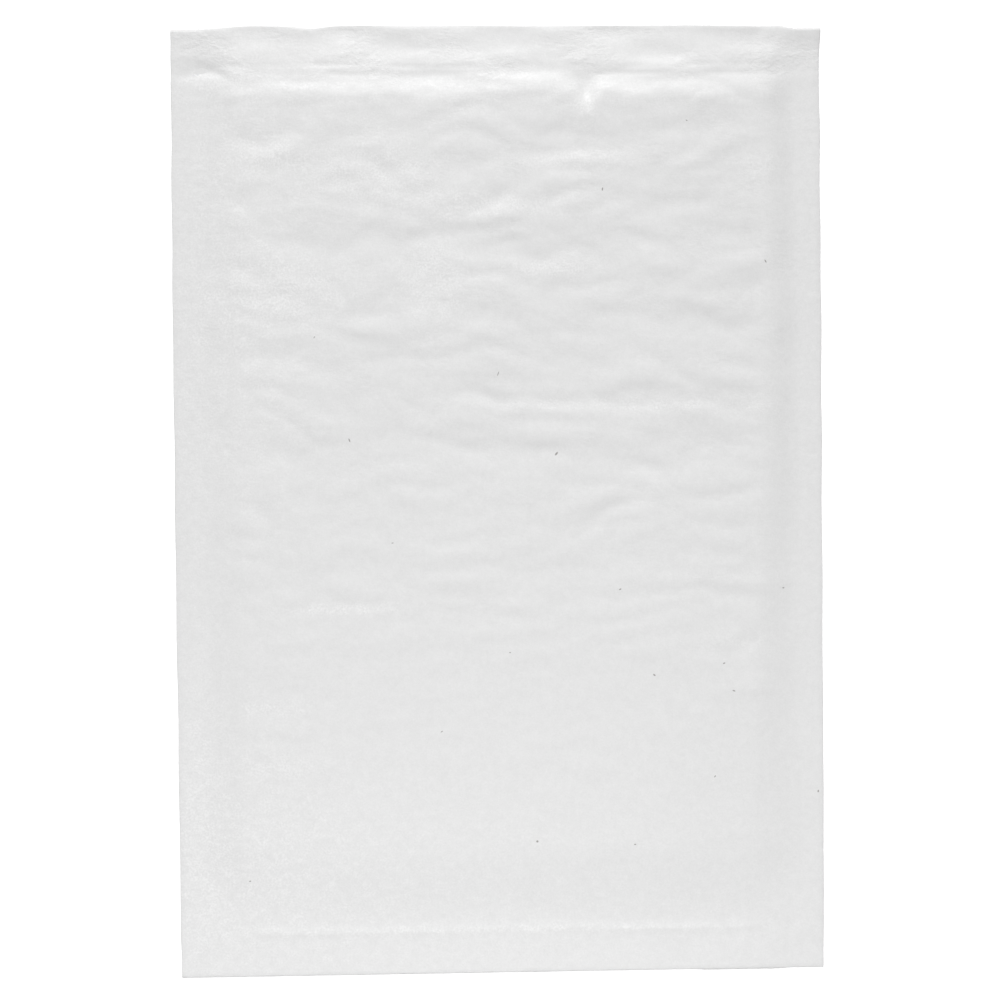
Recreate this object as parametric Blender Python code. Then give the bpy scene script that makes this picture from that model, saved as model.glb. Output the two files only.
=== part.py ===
"""A padded mailing envelope: white kraft paper round a bag of bubble film.

The paper is one sheet. It is wrapped into a flat tube with a glued lap on the back, its bottom end is
turned up on the back and glued, and the front runs on past the mouth as a flap, which is folded down
behind. The empty envelope lies on its back, with its address side up.

Metres, +Z up. X is the width and Y the length, with the mouth at +Y. The origin is on the surface that
the envelope lies on, under its middle.
"""

import math

import bmesh
import bpy

MM = 0.001

# The paper and how closely its plies lie
PAPER = 0.15 * MM  # thickness of the sheet
GAP = 0.15 * MM  # clearance left between two plies
PLY = PAPER + GAP  # from the middle of one ply to the middle of the next

# Outline
WIDTH = 240 * MM  # between the two side folds
LENGTH = 350 * MM  # from the bottom fold to the shoulders beside the flap
FLAP_RISE = 1.5 * MM  # how far the flap's fold stands above the shoulders
FLAP_LENGTH = 48 * MM  # from its fold to its free edge
FLAP_HALF_ROOT = 110 * MM  # half of the flap's width at the shoulders
FLAP_HALF_TIP = 104 * MM  # half of its width at the free edge
FLAP_RISE_RUN = 25 * MM  # the fold climbs to its full height this far in from the shoulders
MOUTH_DROP = 8 * MM  # the back's cut edge lies this far below the shoulders
TURN_UP = 14.5 * MM  # height of the glued strip at the bottom of the back

# The padded field and the slopes round it
PAD_TOP = 7.0 * MM  # height of the address side where the padding is full
SIDE_SEAL = 9.5 * MM  # flat strip down each side, where the film bag is welded
SIDE_SLOPE = 10 * MM
FLAT_TOP = 8 * MM  # flat strip below the shoulders
TOP_SLOPE = 17 * MM
FLAT_BOTTOM = 15 * MM  # flat strip above the bottom fold
BOTTOM_SLOPE = 22 * MM

# Height at which front and back meet, round the edges
SIDE_LEVEL = 2.5 * MM
TOP_LEVEL = 1.6 * MM
BOTTOM_LEVEL = 1.35 * MM
LEVEL_RUN = 70 * MM  # the side strips come down to the ends over this length

# The glued lap down the back
LAP_INNER_EDGE = 84 * MM  # free edge of the ply that lies inside
LAP_OUTER_EDGE = 99 * MM  # free edge of the ply that lies outside
LAP_STEP = 7 * MM  # the inner ply rises over this width beside the lap

# The bubble film bag
BAG_HALF_WIDTH = 118.8 * MM
BAG_FOOT = 16 * MM  # its closed end, above the bottom fold
BAG_MOUTH = 14 * MM  # its open end, below the shoulders
POCKET_HALF_WIDTH = 108 * MM  # the pocket between the side welds
POCKET_FOOT = 24 * MM  # the pocket's closed end, above the bottom fold
POCKET_GAP = 0.4 * MM  # the empty pocket is pressed this flat
PAD_CLEARANCE = 0.15 * MM  # what the film keeps from the paper, added where the padding is full

# The closure on the flap's inner face
GLUE_THICK = 0.15 * MM
GLUE_HALF_LENGTH = 99 * MM
GLUE_BAND = (24 * MM, 36 * MM)  # from the flap's fold
LINER_THICK = 0.10 * MM
LINER_HALF_LENGTH = 103 * MM
LINER_BAND = (20 * MM, 42 * MM)  # from the flap's fold
UNDER_FLAP_LIFT = 0.85 * MM  # how far the flap and its strips lift the back
LIFT_RUN = 10 * MM

# Derived places
HALF_WIDTH = WIDTH / 2
Y_BOTTOM = -(LENGTH + FLAP_RISE) / 2
Y_SHOULDER = Y_BOTTOM + LENGTH
Y_FLAP_EDGE = Y_SHOULDER - FLAP_LENGTH
FLOOR_PLY = PAPER / 2  # middle of a ply that lies on the surface
TOP_PLY = PAD_TOP - PAPER / 2
FOLD_X = HALF_WIDTH - PAPER / 2 - PLY  # centre of the side folds
TURN_RADIUS = PLY  # of the middle between the two plies round the bottom fold
Y_TURN = Y_BOTTOM + TURN_RADIUS + PLY / 2 + PAPER / 2
FLAP_BEND = (TOP_LEVEL + PLY - FLOOR_PLY) / 2  # radius of the flap's fold


def smooth(t):
    """0 below 0, 1 above 1, and an even S between."""
    t = min(max(t, 0.0), 1.0)
    return t * t * (3 - 2 * t)


def mix(a, b, share):
    return a + (b - a) * share


def spread(low, high, cells):
    """The ends of so many equal cells from low to high."""
    return [mix(low, high, i / cells) for i in range(cells + 1)]


# ---- Form of the closed envelope ----


def fill(x, y):
    """How full the padding is: 1 over the middle, 0 in the flat strips round it."""
    across = smooth((HALF_WIDTH - abs(x) - SIDE_SEAL) / SIDE_SLOPE)
    from_top = smooth((Y_SHOULDER - FLAT_TOP - y) / TOP_SLOPE)
    from_bottom = smooth((y - Y_BOTTOM - FLAT_BOTTOM) / BOTTOM_SLOPE)
    return across * from_top * from_bottom


def closed_level(y):
    """Height where front and back would meet with no padding between them."""
    to_top = 1 - smooth((Y_SHOULDER - FLAT_TOP - y) / LEVEL_RUN)
    to_bottom = 1 - smooth((y - Y_BOTTOM - FLAT_BOTTOM) / LEVEL_RUN)
    return SIDE_LEVEL + to_top * (TOP_LEVEL - SIDE_LEVEL) + to_bottom * (BOTTOM_LEVEL - SIDE_LEVEL)


def closed_gap(y):
    """Half the distance from front to back in the flat strips: less below the film bag."""
    return PLY * mix(0.5, 1.0, smooth((y - Y_BOTTOM - FLAT_BOTTOM / 2) / (BAG_FOOT - FLAT_BOTTOM / 2)))


def lap_share(x):
    """1 across the glued lap, 0 away from it."""
    onto = smooth((x - LAP_INNER_EDGE + 2 * LAP_STEP) / LAP_STEP)
    off = smooth((LAP_OUTER_EDGE + 1.3 * LAP_STEP - x) / LAP_STEP)
    return onto * off


def front_z(x, y):
    """Middle of the front ply. At the bottom it climbs over the lap."""
    low = smooth((y - Y_BOTTOM - FLAT_BOTTOM / 2) / (BAG_FOOT - FLAT_BOTTOM / 2))
    edge = closed_level(y) + closed_gap(y) + PLY * lap_share(x) * (1 - low)
    return mix(edge, TOP_PLY, fill(x, y))


def back_z(x, y):
    """Middle of the back's outer ply. It lies on the surface, and on the flap near the top."""
    lift = UNDER_FLAP_LIFT * smooth((y - Y_FLAP_EDGE + LIFT_RUN) / LIFT_RUN)
    return mix(closed_level(y) - closed_gap(y), FLOOR_PLY + lift, fill(x, y))


def inner_back_z(x, y):
    """Middle of the back's inner ply, which steps up over the lap."""
    return back_z(x, y) + PLY * lap_share(x)


def flap_fold_y(x):
    """Where the flap's fold begins: it climbs from the shoulders towards the middle."""
    climb = smooth((FLAP_HALF_ROOT - abs(x)) / FLAP_RISE_RUN)
    return Y_SHOULDER + FLAP_RISE * climb - FLAP_BEND - PAPER / 2


# ---- The paper: a flat blank, cut and then folded ----


def paper_columns():
    """Stations across the blank, as (part, place): x on a panel, an angle on a side fold."""
    inner_lap = [LAP_INNER_EDGE, 92 * MM, *panel_lines(LAP_OUTER_EDGE)]
    panel = panel_lines(-FOLD_X)
    folds = [math.pi * share for share in (0.25, 0.5, 0.75)]
    outer = [x for x in panel if x < 80 * MM] + [LAP_INNER_EDGE, LAP_OUTER_EDGE]
    return (
        [("inner_lap", x) for x in inner_lap]
        + [("right_fold", math.pi - angle) for angle in folds]
        + [("front", x) for x in reversed(panel)]
        + [("left_fold", angle) for angle in folds]
        + [("outer_lap", x) for x in outer]
    )


def panel_lines(low):
    """The x of each line along the panels from low to the right fold, closest on the slopes."""
    slope = spread(HALF_WIDTH - SIDE_SEAL, HALF_WIDTH - SIDE_SEAL - SIDE_SLOPE, 6)
    right = [FOLD_X, 115 * MM, *slope, 84 * MM, 70 * MM, 40 * MM]
    lines = sorted(right + [0.0] + [-x for x in right])
    return [x for x in lines if x >= low - 0.5 * MM]


def paper_rows():
    """Stations along the blank, as (part, place): y on the body, an angle on a fold, a distance on a strip."""
    turn = spread(0, math.pi, 4)
    bottom_slope = spread(Y_BOTTOM + FLAT_BOTTOM, Y_BOTTOM + FLAT_BOTTOM + BOTTOM_SLOPE, 6)
    low = [Y_TURN, Y_BOTTOM + 8 * MM, Y_BOTTOM + 11 * MM]
    return (
        [("strip", length) for length in (TURN_UP - TURN_RADIUS, 7 * MM)]
        + [("turn", math.pi - angle) for angle in turn[:-1]]
        + [("body", y) for y in low + bottom_slope + middle_lines() + top_lines()]
        + [("bend", angle) for angle in spread(0, math.pi, 6)]
        + [("flap", share) for share in (0.35, 0.7, 1.0)]
    )


def middle_lines():
    """The y of each line over the full padding, with four where the back climbs onto the flap."""
    onto_flap = spread(Y_FLAP_EDGE - LIFT_RUN, Y_FLAP_EDGE, 3)
    return [-100 * MM, -70 * MM, 0.0, 70 * MM, *onto_flap]


def top_lines():
    """The y of each line on the top slope and the flat strip above it."""
    slope = spread(Y_SHOULDER - FLAT_TOP - TOP_SLOPE, Y_SHOULDER - FLAT_TOP, 6)
    return [*slope, Y_SHOULDER - 4 * MM, Y_SHOULDER]


def cut_away(column, row):
    """Whether the knife takes this station out of the blank: what is left beside the flap and above the mouth."""
    part, place = column
    beside_flap = part.endswith("fold") or abs(place) > FLAP_HALF_ROOT + 0.6 * MM
    if row[0] in ("bend", "flap"):
        return beside_flap or part != "front"
    above_mouth = row[0] == "body" and row[1] > Y_SHOULDER - MOUTH_DROP + 0.1 * MM
    return above_mouth and part.endswith("lap") and not beside_flap


def section_point(column, y):
    """(x, z) of a station across the body at y."""
    part, place = column
    if part == "front":
        return place, front_z(place, y)
    if part == "outer_lap":
        return place, back_z(place, y)
    if part == "inner_lap":
        return place, inner_back_z(place, y)
    side = 1 if part == "right_fold" else -1
    top, bottom = front_z(FOLD_X, y), back_z(FOLD_X, y)
    radius = (top - bottom) / 2
    return side * (FOLD_X + radius * math.sin(place)), (top + bottom) / 2 + radius * math.cos(place)


def folded(column, row):
    """Where a station of the blank comes to lie once the sheet is folded."""
    (column_part, x), (row_part, place) = column, row
    if row_part == "body":
        y = place
        if column_part == "front" and abs(x) < FLAP_HALF_ROOT + 0.6 * MM and place > Y_SHOULDER - 0.1 * MM:
            y = flap_fold_y(x)
        x, z = section_point(column, place)
        return x, y, z
    if row_part in ("bend", "flap"):
        axis_y, axis_z = flap_fold_y(x), FLOOR_PLY + FLAP_BEND
        if row_part == "bend":
            return x, axis_y + FLAP_BEND * math.sin(place), axis_z + FLAP_BEND * math.cos(place)
        taper = mix(1.0, FLAP_HALF_TIP / FLAP_HALF_ROOT, place)
        return x * taper, mix(axis_y, Y_FLAP_EDGE, place), FLOOR_PLY
    # The bottom turns the whole flat tube over, so each ply keeps its distance from the middle of the tube
    x, z = section_point(column, Y_TURN)
    from_middle = z - BOTTOM_LEVEL
    axis_z = BOTTOM_LEVEL - TURN_RADIUS
    if row_part == "turn":
        reach = TURN_RADIUS + from_middle
        return x, Y_TURN - reach * math.sin(place), axis_z + reach * math.cos(place)
    return x, Y_TURN + place, axis_z - TURN_RADIUS - from_middle


def add_object(name, bm, material):
    """A mesh object of that name, shaded smooth up to sharp edges."""
    mesh = bpy.data.meshes.new(name)
    bm.to_mesh(mesh)
    bm.free()
    mesh.shade_smooth()
    mesh.set_sharp_from_angle(angle=math.radians(40))
    obj = bpy.data.objects.new(name, mesh)
    bpy.context.scene.collection.objects.link(obj)
    obj.data.materials.append(material)
    return obj


def numbered_grid(columns, rows):
    """A bmesh grid of unit cells, whose vertex x and y are its column and row numbers."""
    bm = bmesh.new()
    bmesh.ops.create_grid(bm, x_segments=columns - 1, y_segments=rows - 1, size=0.5)
    for vert in bm.verts:
        vert.co.x = round((vert.co.x + 0.5) * (columns - 1))
        vert.co.y = round((vert.co.y + 0.5) * (rows - 1))
    return bm


def thicken(obj, thickness):
    solidify = obj.modifiers.new("paper thickness", "SOLIDIFY")
    solidify.thickness = thickness
    solidify.offset = 0
    solidify.use_even_offset = True


def make_paper(material):
    """The whole outer sheet: front, back with its lap, turned-up bottom and flap."""
    columns, rows = paper_columns(), paper_rows()
    bm = numbered_grid(len(columns), len(rows))
    places = {vert: (columns[round(vert.co.x)], rows[round(vert.co.y)]) for vert in bm.verts}
    waste = [face for face in bm.faces if any(cut_away(*places[vert]) for vert in face.verts)]
    bmesh.ops.delete(bm, geom=waste, context="FACES")
    for vert in bm.verts:
        vert.co = folded(*places[vert])
    thicken(add_object("outer_paper", bm, material), PAPER)


# ---- The bubble film bag ----


def bag_skins(x, y):
    """(bottom, top) of the film bag: it keeps clear of the paper, a little more where the padding is full."""
    clear = PAPER / 2 + GAP + PAD_CLEARANCE * fill(x, y)
    return inner_back_z(x, y) + clear, front_z(x, y) - clear


def pocket_skins(x, y):
    """(bottom, top) of the flat pocket in the middle of the bag."""
    bottom, top = bag_skins(x, min(y, Y_SHOULDER - BAG_MOUTH))
    half = min(POCKET_GAP / 2, (top - bottom) / 4)
    return (bottom + top) / 2 - half, (bottom + top) / 2 + half


def block_between(name, xs, ys, skins, material):
    """A closed block over a grid of lines, between two surfaces given by skins(x, y)."""
    bm = numbered_grid(len(xs), len(ys))
    lower = set(bm.verts)
    grown = bmesh.ops.extrude_face_region(bm, geom=bm.faces[:])
    upper = {item for item in grown["geom"] if isinstance(item, bmesh.types.BMVert)}
    for vert in lower | upper:
        x, y = xs[round(vert.co.x)], ys[round(vert.co.y)]
        vert.co = (x, y, skins(x, y)[vert in upper])
    bmesh.ops.recalc_face_normals(bm, faces=bm.faces[:])
    return add_object(name, bm, material)


def make_film_bag(material):
    """The bubble film, folded and welded into a bag, as a solid pad with its pocket cut flat through it."""
    lines = [x for x in panel_lines(-FOLD_X) if abs(x) < BAG_HALF_WIDTH - 1 * MM]
    xs = sorted([-BAG_HALF_WIDTH, *lines, LAP_OUTER_EDGE, BAG_HALF_WIDTH])
    foot, mouth = Y_BOTTOM + BAG_FOOT, Y_SHOULDER - BAG_MOUTH
    body = [row[1] for row in paper_rows() if row[0] == "body"]
    ys = [foot, *[y for y in body if foot + 1 * MM < y < mouth - 1 * MM], mouth]
    bag = block_between("bubble_film_bag", xs, ys, bag_skins, material)
    half = POCKET_HALF_WIDTH
    pocket_xs = [-half, *[x for x in xs if abs(x) < half - 1 * MM], half]
    pocket_foot = Y_BOTTOM + POCKET_FOOT
    pocket_ys = [pocket_foot, *[y for y in ys if y > pocket_foot + 1 * MM], mouth + 2 * MM]
    pocket = block_between("pocket_cutter", pocket_xs, pocket_ys, pocket_skins, material)
    pocket.hide_render = True
    pocket.display_type = "WIRE"
    cut = bag.modifiers.new("pocket", "BOOLEAN")
    cut.operation = "DIFFERENCE"
    cut.object = pocket


# ---- The closure ----


def make_strip(name, half_length, band, bottom, thickness, material):
    """A flat strip across the flap's inner face, between two distances from its fold."""
    far, near = Y_SHOULDER - band[1], Y_SHOULDER - band[0]
    block_between(
        name,
        [-half_length, 0.0, half_length],
        [far, near],
        lambda x, y: (bottom, bottom + thickness),
        material,
    )


def make_closure(glue, liner):
    """The band of glue on the flap and the peel-off liner that covers it."""
    glue_bottom = PAPER + GAP
    make_strip("flap_glue_strip", GLUE_HALF_LENGTH, GLUE_BAND, glue_bottom, GLUE_THICK, glue)
    liner_bottom = glue_bottom + GLUE_THICK + GAP
    make_strip("release_liner", LINER_HALF_LENGTH, LINER_BAND, liner_bottom, LINER_THICK, liner)


# ---- Materials and assembly ----


def make_material(name, colour, roughness):
    material = bpy.data.materials.new(name)
    material.use_nodes = True
    shader = material.node_tree.nodes["Principled BSDF"]
    shader.inputs["Base Color"].default_value = (*colour, 1.0)
    shader.inputs["Roughness"].default_value = roughness
    shader.inputs["Metallic"].default_value = 0.0
    return material


def main():
    for obj in list(bpy.data.objects):
        bpy.data.objects.remove(obj)
    make_paper(make_material("white_kraft", (0.80, 0.80, 0.80), 0.55))
    make_film_bag(make_material("clear_film", (0.78, 0.80, 0.82), 0.25))
    make_closure(
        make_material("hot_melt", (0.85, 0.80, 0.62), 0.35),
        make_material("liner_paper", (0.86, 0.86, 0.84), 0.30),
    )


main()
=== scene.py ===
import math
import bpy
import numpy as np
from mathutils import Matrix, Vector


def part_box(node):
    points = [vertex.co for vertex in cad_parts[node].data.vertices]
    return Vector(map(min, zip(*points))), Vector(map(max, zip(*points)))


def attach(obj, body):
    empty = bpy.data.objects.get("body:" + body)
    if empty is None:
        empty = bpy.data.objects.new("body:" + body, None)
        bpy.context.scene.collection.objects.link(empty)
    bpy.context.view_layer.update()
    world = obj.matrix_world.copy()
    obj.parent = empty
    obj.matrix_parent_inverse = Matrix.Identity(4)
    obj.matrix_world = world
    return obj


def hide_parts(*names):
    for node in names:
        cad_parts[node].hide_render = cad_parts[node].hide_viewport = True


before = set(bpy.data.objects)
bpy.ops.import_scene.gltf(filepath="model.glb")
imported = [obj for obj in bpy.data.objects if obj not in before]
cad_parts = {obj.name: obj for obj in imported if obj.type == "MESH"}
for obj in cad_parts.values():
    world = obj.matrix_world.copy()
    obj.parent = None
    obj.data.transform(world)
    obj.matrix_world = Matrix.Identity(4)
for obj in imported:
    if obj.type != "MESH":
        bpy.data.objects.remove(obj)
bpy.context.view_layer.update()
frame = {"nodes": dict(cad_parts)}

# an empty padded envelope of white kraft paper, lying on its back with the flap folded behind
print("frame loaded:", ", ".join(frame["nodes"]))

mm = 0.001
paperLow, paperHigh = (np.array(corner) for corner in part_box("outer_paper"))
glueLow, glueHigh = (np.array(corner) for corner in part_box("flap_glue_strip"))
linerLow, linerHigh = (np.array(corner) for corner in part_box("release_liner"))


def smooth(t):
    # 3t^2 - 2t^3 between 0 and 1, flat outside
    t = np.clip(t, 0.0, 1.0)
    return t * t * (3 - 2 * t)


def mix(a, b, share):
    return a + (b - a) * share


def softWaves(x, y, lengthX, lengthY, seed, count=48):
    # sum of cosines with random directions and phases, whose wavelengths spread round lengthX and lengthY
    rng = np.random.default_rng(seed)
    total = np.zeros(np.broadcast(x, y).shape)
    low, high = [[0], [0.6], [0]], [[2 * np.pi], [1.7], [2 * np.pi]]
    for angle, stretch, phase in zip(*rng.uniform(low, high, (3, count))):
        alongX = np.cos(angle) * stretch * 2 * np.pi / lengthX
        alongY = np.sin(angle) * stretch * 2 * np.pi / lengthY
        total += np.cos(alongX * x + alongY * y + phase)
    return total / math.sqrt(count / 2)


def gridFaces(rows, columns, keep=None):
    # four neighbours of each cell of a rows x columns grid, the cells with keep False left out
    numbers = np.arange(rows * columns).reshape(rows, columns)
    quads = np.stack([numbers[:-1, :-1], numbers[:-1, 1:], numbers[1:, 1:], numbers[1:, :-1]], axis=-1)
    return quads.reshape(-1, 4) if keep is None else quads[keep]


def meshPiece(name, points, quads, nodeName):
    # a mesh object from an array of points and an array of quads, without the points that no quad uses
    used, renumbered = np.unique(quads, return_inverse=True)
    mesh = bpy.data.meshes.new(name)
    mesh.from_pydata(points.reshape(-1, 3)[used].tolist(), [], renumbered.reshape(-1, 4).tolist())
    mesh.update()
    mesh.shade_smooth()
    piece = bpy.data.objects.new(name, mesh)
    bpy.context.scene.collection.objects.link(piece)
    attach(piece, "root")
    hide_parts(nodeName)
    return piece


def skinnedSheet(name, upper, lower, nodeName):
    # two grids of points of one size, joined round their rim into a closed skin
    rows, columns = upper.shape[:2]
    count = rows * columns
    top = gridFaces(rows, columns)
    numbers = np.arange(count).reshape(rows, columns)
    rim = np.concatenate([numbers[0, :], numbers[1:, -1], numbers[-1, -2::-1], numbers[-2:0:-1, 0]])
    after = np.roll(rim, -1)
    side = np.stack([after, rim, rim + count, after + count], axis=-1)
    quads = np.concatenate([top, top[:, ::-1] + count, side])
    points = np.concatenate([upper.reshape(-1, 3), lower.reshape(-1, 3)])
    return meshPiece(name, points, quads, nodeName)


form = {
    "paper": 0.15 * mm,         # thickness of the kraft sheet
    "ply": 0.30 * mm,           # from one ply's middle to the next
    "flapRise": 1.5 * mm,       # the flap's fold stands above the shoulders
    "flapLength": 48 * mm,
    "sideSeal": 8.2 * mm,       # flat strip beside the padding
    "sideSlope": 12.5 * mm,     # from the strip up to the padding, on the right
    "leftSlope": 19 * mm,
    "sideCrown": 48 * mm,       # over which the padding climbs on to its full height
    "crownShare": 0.64,         # share of the height that the slopes reach
    "bandTop": 16.8 * mm,       # upper edge of the slope beside the mouth, below the flap's fold
    "bandRun": 9.8 * mm,        # from there to the padding
    "bandExtra": 2.2 * mm,      # more of it on the right
    "bandHeight": 3.9 * mm,     # height of the front at the upper edge of that slope
    "mouthCrown": 50 * mm,
    "mouthHeight": 6.1 * mm,    # height of the front at the padding's edge beside the mouth
    "bagFoot": 16.2 * mm,       # the film bag's closed end above the bottom fold
    "bottomSlope": 34 * mm,
    "bottomCrown": 120 * mm,
    "stepPlace": 38 * mm,       # right of here the padding's upper edge stands higher
    "stepRise": 1.2 * mm,
    "notchPlace": 33 * mm,
    "notchDepth": 5.0 * mm,
    "notchWidth": 3.4 * mm,
    "bottomSoftness": 0.45,     # share of the long rise in the short one at the bottom
    "turnedOver": 7.5 * mm,     # height of the strip where front and back touch
    "ridgeHeight": 0.30 * mm,   # the film's closed end under the paper
    "ridgeWidth": 1.3 * mm,
    "grooveGain": 1.55,         # strengthens all listed wrinkles at once
    "cornerLift": 0.9 * mm,     # the upper right corner stands up a little
    "sideLevel": 2.5 * mm,      # height where front and back meet at the sides
    "topLevel": 1.6 * mm,
    "bottomLevel": 1.35 * mm,
    "levelRun": 70 * mm,
    "underFlapLift": 0.85 * mm,
    "liftRun": 10 * mm,
}
halfWidth = paperHigh[0]
yBottom = paperLow[1]
yCrest = paperHigh[1]
yShoulder = yCrest - form["flapRise"]
topPly = paperHigh[2] - form["paper"] / 2
floorPly = form["paper"] / 2
foldX = halfWidth - form["paper"] / 2 - form["ply"]
yFlapEdge = yShoulder - form["flapLength"]


def bandShift(x):
    # how far the padding's upper edge wanders towards the mouth: a step on the right, a notch, slow waves
    step = form["stepRise"] * smooth((x - form["stepPlace"]) / (6 * mm))
    notch = -form["notchDepth"] * np.exp(-(((x - form["notchPlace"]) / form["notchWidth"]) ** 2))
    waves = 0.5 * mm * softWaves(x, 0.0, 60 * mm, 60 * mm, 11)
    return step + notch + waves


def fullness(x, y):
    # three climbs from 0 in the flat strips to 1 over the padding: from the sides, the mouth and the foot
    wander = 0.55 * mm * softWaves(0.0, y, 40 * mm, 34 * mm, 5)
    wander = wander * smooth((halfWidth - np.abs(x)) / (14 * mm))
    inward = halfWidth - np.abs(x) - form["sideSeal"] + wander
    # the right slope eases off towards the bottom
    upwards = smooth((y - yBottom - 30 * mm) / (220 * mm))
    rightSlope = mix(form["sideSlope"] + 9 * mm, form["sideSlope"], upwards)
    run = np.where(x < 0, form["leftSlope"], rightSlope)
    slope = smooth(inward / run)
    crown = smooth((inward - 0.5 * run) / form["sideCrown"])
    across = mix(slope * form["crownShare"], 1.0, crown * slope)
    bandRun = form["bandRun"] + form["bandExtra"] * smooth((x - form["stepPlace"]) / (8 * mm))
    fromTop = smooth((yCrest - form["bandTop"] + bandShift(x) - y) / bandRun)
    upward = y - yBottom - form["bagFoot"]
    shortRise, longRise = smooth(upward / form["bottomSlope"]), smooth(upward / form["bottomCrown"])
    fromBottom = mix(shortRise, longRise, form["bottomSoftness"])
    return across, fromTop, fromBottom


def closedLevel(y):
    # height where front and back meet at the sides: lower towards both ends
    toTop = 1 - smooth((yShoulder - 8 * mm - y) / form["levelRun"])
    toBottom = 1 - smooth((y - yBottom - 15 * mm) / form["levelRun"])
    level = form["sideLevel"] + toTop * (form["topLevel"] - form["sideLevel"])
    return level + toBottom * (form["bottomLevel"] - form["sideLevel"])


def overBagShare(y):
    # 0 on the closed strip at the bottom, 1 from the film bag's foot up
    return smooth((y - yBottom - form["turnedOver"]) / (form["bagFoot"] - form["turnedOver"]))


def closedGap(y):
    # from the level where front and back meet up to the front's middle: half a ply where only paper
    # lies there, a whole ply where the film's welded edges lie between
    overBag = overBagShare(y)
    return form["ply"] * mix(0.5, 1.0, overBag)


def lapShare(x):
    # 1 where the lap's inner ply lies on the back, 0 elsewhere
    onto = smooth((x - 70 * mm) / (7 * mm))
    off = smooth((108 * mm - x) / (7 * mm))
    return onto * off


def backFill(x, y):
    # the back's own fullness: three climbs from the closed strips to the table
    across = smooth((halfWidth - np.abs(x) - form["sideSeal"]) / (10 * mm))
    fromTop = smooth((yShoulder - 8 * mm - y) / (17 * mm))
    fromBottom = smooth((y - yBottom - 15 * mm) / (22 * mm))
    return across * fromTop * fromBottom


def backZ(x, y):
    # middle of the back's outer ply: on the table, and up on the flap near the mouth
    lift = form["underFlapLift"] * smooth((y - yFlapEdge + form["liftRun"]) / form["liftRun"])
    full = backFill(x, y)
    lumps = 0.09 * mm * np.clip(softWaves(x, y, 60 * mm, 30 * mm, 26) + 0.9, 0, 3) * full
    lumps = lumps * (y < yFlapEdge - form["liftRun"])
    return mix(closedLevel(y) - closedGap(y), floorPly + lift, full) + lumps


def innerBackZ(x, y):
    # middle of the back's innermost ply: one ply higher where the lap is double
    return backZ(x, y) + form["ply"] * lapShare(x)


# wrinkles of the address side, in mm: x and y of the middle, half length, half width, turn in degrees,
# depth (a ridge if negative), and how many times wider the lower side is than the upper one
grooves = [
    (-17, 98, 30, 2.6, -3, 0.46, 2.4), (-70, 97, 30, 2.8, 2, 0.28, 2.2), (22, 91, 17, 2.2, -6, 0.34, 1.2),
    (20, 78, 13, 2.4, 3, 0.34, 1.6), (64, 68, 27, 2.8, -9, 0.40, 2.0), (88, 64, 12, 2.4, -6, 0.26, 1.4),
    (-31, 54, 20, 2.6, -2, 0.32, 1.8), (-78, 55, 17, 2.6, 4, 0.28, 2.0), (-6, 38, 34, 2.4, 3, 0.34, 1.0),
    (55, 37, 44, 2.2, -2, 0.40, 0.9), (30, 50, 20, 2.4, -5, 0.22, 1.6), (74, 22, 24, 3.4, 8, 0.42, 2.4),
    (50, 12, 20, 3.0, -14, 0.34, 2.0), (-22, 23, 25, 2.8, -5, 0.40, 2.2), (-72, 19, 26, 2.8, 6, 0.30, 2.2),
    (8, 19, 22, 2.4, -2, 0.26, 2.0), (38, -6, 13, 2.4, 42, 0.26, 1.0), (54, -16, 15, 2.6, -6, 0.28, 1.6),
    (78, -35, 26, 2.4, -2, 0.36, 1.0), (78, -29, 26, 2.2, -3, -0.20, 1.0), (-66, -37, 20, 1.3, -3, 0.26, 0.8),
    (-24, -41, 22, 1.4, -1, 0.14, 0.8), (84, -55, 16, 2.2, 2, 0.30, 1.2), (84, -50, 14, 2.0, 5, -0.14, 1.0),
    (-83, -74, 12, 1.2, 0, 0.16, 0.8), (-86, -96, 14, 1.2, 1, 0.16, 0.8), (82, -96, 15, 1.3, -2, 0.14, 1.0),
    (19, 129, 20, 1.8, 2, 0.28, 0.8), (98, 127, 8, 1.8, 0, 0.26, 0.8), (-86, 133, 20, 2.4, 8, 0.34, 1.0),
    (-3, 112, 25, 1.6, 1, 0.26, 0.8), (-98, 113, 7, 1.6, -8, 0.34, 0.7), (66, 110, 22, 2.4, -7, 0.26, 1.4),
    (84, 99, 16, 2.2, 6, 0.26, 1.8), (52, 96, 14, 2.4, -12, 0.32, 1.6), (96, 80, 9, 2.0, -20, 0.26, 1.2),
    (42, 82, 12, 2.2, 14, 0.26, 1.6), (-50, 72, 20, 2.2, -3, 0.16, 1.4), (-84, 0, 14, 2.2, 5, 0.18, 1.6),
    (-90, -14, 14, 2.2, -6, 0.18, 1.6), (-52, -26, 22, 2.4, 3, 0.18, 1.8), (14, -24, 20, 2.4, -4, 0.16, 1.6),
    (70, -70, 16, 2.2, 4, 0.12, 1.4), (-40, -60, 26, 2.6, -2, 0.10, 1.4), (24, 62, 14, 2.2, 6, 0.20, 1.4),
    (-40, 122, 26, 2.6, -4, 0.20, 1.6), (62, 138, 16, 2.2, 4, 0.22, 1.6), (-58, 112, 18, 2.0, -5, 0.18, 1.2),
]
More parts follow.
